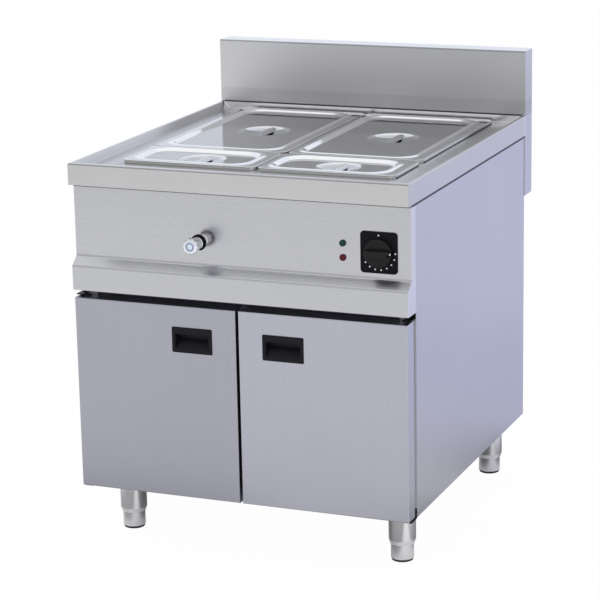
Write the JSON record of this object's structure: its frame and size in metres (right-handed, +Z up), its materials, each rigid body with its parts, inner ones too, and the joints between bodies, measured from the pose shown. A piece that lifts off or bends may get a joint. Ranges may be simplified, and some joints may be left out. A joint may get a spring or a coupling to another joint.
{
  "type": "sauce bain-marie",
  "caption": "Free-standing stainless steel bain-marie with a heated water well for lidded gastronorm pans, a control panel with thermostat and fill valve, a rear upstand and a cupboard below.",
  "frame": {"origin": "on the floor, under the centre of the box that holds the whole object", "axes": "+Z up, the front with the controls faces -Y, +X to the right as seen from the front"},
  "size_m": [0.8, 0.947, 1.042],
  "materials": {
    "worktop_steel": "satin",
    "panel_steel": "satin",
    "side_steel": "satin",
    "door_steel": "satin",
    "lid_steel": "bright rolled",
    "pan_steel": "bright rolled",
    "tank_steel": "satin",
    "leg_steel": "satin",
    "pipe_steel": "satin",
    "element_steel": "heat stained",
    "chrome": "polished",
    "brass": "cast",
    "black_plastic": "matt",
    "knob_plastic": "semi-gloss",
    "handle_plastic": "fine grain",
    "green_lens": "moulded",
    "red_lens": "moulded"
  },
  "bodies": {
    "cabinet": {"worktop": "worktop_steel", "upstand": "worktop_steel", "rear_cheeks": "worktop_steel", "well_tank": "tank_steel", "pan_bridges": "tank_steel", "false_bottom": "tank_steel", "heating_elements": "element_steel", "sensor_bulb": "brass", "left_side_panel": "side_steel", "right_side_panel": "side_steel", "back_panel": "side_steel", "cabinet_floor": "side_steel", "cabinet_ceiling": "side_steel", "front_rail": "side_steel", "control_panel": "panel_steel", "thermostat_plate": "black_plastic", "thermostat_body": "black_plastic", "green_lamp": "green_lens", "red_lamp": "red_lens", "valve_ring": "black_plastic", "valve_body": "chrome", "water_pipes": "pipe_steel", "drain_pipe": "pipe_steel", "drain_valve": "brass", "hinge_brackets": "side_steel", "door_catches": "black_plastic", "legs": "leg_steel", "terminal_box": "black_plastic", "cable_gland": "black_plastic", "back_screws": "side_steel"},
    "left_door": {"left_door_skin": "door_steel", "left_door_liner": "side_steel", "left_door_bushes": "black_plastic", "left_door_handle": "handle_plastic"},
    "right_door": {"right_door_skin": "door_steel", "right_door_liner": "side_steel", "right_door_bushes": "black_plastic", "right_door_handle": "handle_plastic"},
    "thermostat_dial": {"thermostat_knob": "knob_plastic", "thermostat_shaft": "pipe_steel"},
    "valve_handle": {"valve_knob": "chrome", "valve_spindle": "brass"},
    "drain_lever": {"drain_lever": "leg_steel"},
    "pan_front_left": {"pan_front_left": "pan_steel"},
    "lid_front_left": {"lid_front_left": "lid_steel", "lid_handle_front_left": "lid_steel"},
    "pan_front_right": {"pan_front_right": "pan_steel"},
    "lid_front_right": {"lid_front_right": "lid_steel", "lid_handle_front_right": "lid_steel"},
    "pan_rear_left": {"pan_rear_left": "pan_steel"},
    "lid_rear_left": {"lid_rear_left": "lid_steel", "lid_handle_rear_left": "lid_steel"},
    "pan_rear_right": {"pan_rear_right": "pan_steel"},
    "lid_rear_right": {"lid_rear_right": "lid_steel", "lid_handle_rear_right": "lid_steel"},
    "foot_front_left": {"foot_front_left": "leg_steel"},
    "foot_rear_left": {"foot_rear_left": "leg_steel"},
    "foot_front_right": {"foot_front_right": "leg_steel"},
    "foot_rear_right": {"foot_rear_right": "leg_steel"}
  },
  "joints": [
    {"name": "left_door_hinge", "type": "hinge", "parent": "cabinet", "child": "left_door", "pos_m": [-0.387, -0.4025, 0.1365], "axis": [0, 0, 1], "range_deg": [-110, 0]},
    {"name": "right_door_hinge", "type": "hinge", "parent": "cabinet", "child": "right_door", "pos_m": [0.387, -0.4025, 0.1365], "axis": [0, 0, 1], "range_deg": [0, 110]},
    {"name": "thermostat_turn", "type": "hinge", "parent": "cabinet", "child": "thermostat_dial", "pos_m": [0.325, -0.4035, 0.7295], "axis": [0, 1, 0], "range_deg": [-90, 137]},
    {"name": "valve_turn", "type": "hinge", "parent": "cabinet", "child": "valve_handle", "pos_m": [-0.085, -0.4035, 0.728], "axis": [0, -1, 0], "range_deg": [0, 180]},
    {"name": "drain_lever_turn", "type": "hinge", "parent": "cabinet", "child": "drain_lever", "pos_m": [0.25, 0.3305, 0.561], "axis": [0, 0, 1], "range_deg": [0, 90]},
    {"name": "pan_front_left_lift", "type": "slide", "parent": "cabinet", "child": "pan_front_left", "axis": [0, 0, 1], "range_m": [0, 0.3]},
    {"name": "lid_front_left_lift", "type": "slide", "parent": "pan_front_left", "child": "lid_front_left", "axis": [0, 0, 1], "range_m": [0, 0.2]},
    {"name": "pan_front_right_lift", "type": "slide", "parent": "cabinet", "child": "pan_front_right", "axis": [0, 0, 1], "range_m": [0, 0.3]},
    {"name": "lid_front_right_lift", "type": "slide", "parent": "pan_front_right", "child": "lid_front_right", "axis": [0, 0, 1], "range_m": [0, 0.2]},
    {"name": "pan_rear_left_lift", "type": "slide", "parent": "cabinet", "child": "pan_rear_left", "axis": [0, 0, 1], "range_m": [0, 0.3]},
    {"name": "lid_rear_left_lift", "type": "slide", "parent": "pan_rear_left", "child": "lid_rear_left", "axis": [0, 0, 1], "range_m": [0, 0.2]},
    {"name": "pan_rear_right_lift", "type": "slide", "parent": "cabinet", "child": "pan_rear_right", "axis": [0, 0, 1], "range_m": [0, 0.3]},
    {"name": "lid_rear_right_lift", "type": "slide", "parent": "pan_rear_right", "child": "lid_rear_right", "axis": [0, 0, 1], "range_m": [0, 0.2]},
    {"name": "foot_front_left_level", "type": "slide", "parent": "cabinet", "child": "foot_front_left", "axis": [0, 0, -1], "range_m": [-0.015, 0.03]},
    {"name": "foot_rear_left_level", "type": "slide", "parent": "cabinet", "child": "foot_rear_left", "axis": [0, 0, -1], "range_m": [-0.015, 0.03]},
    {"name": "foot_front_right_level", "type": "slide", "parent": "cabinet", "child": "foot_front_right", "axis": [0, 0, -1], "range_m": [-0.015, 0.03]},
    {"name": "foot_rear_right_level", "type": "slide", "parent": "cabinet", "child": "foot_rear_right", "axis": [0, 0, -1], "range_m": [-0.015, 0.03]}
  ]
}
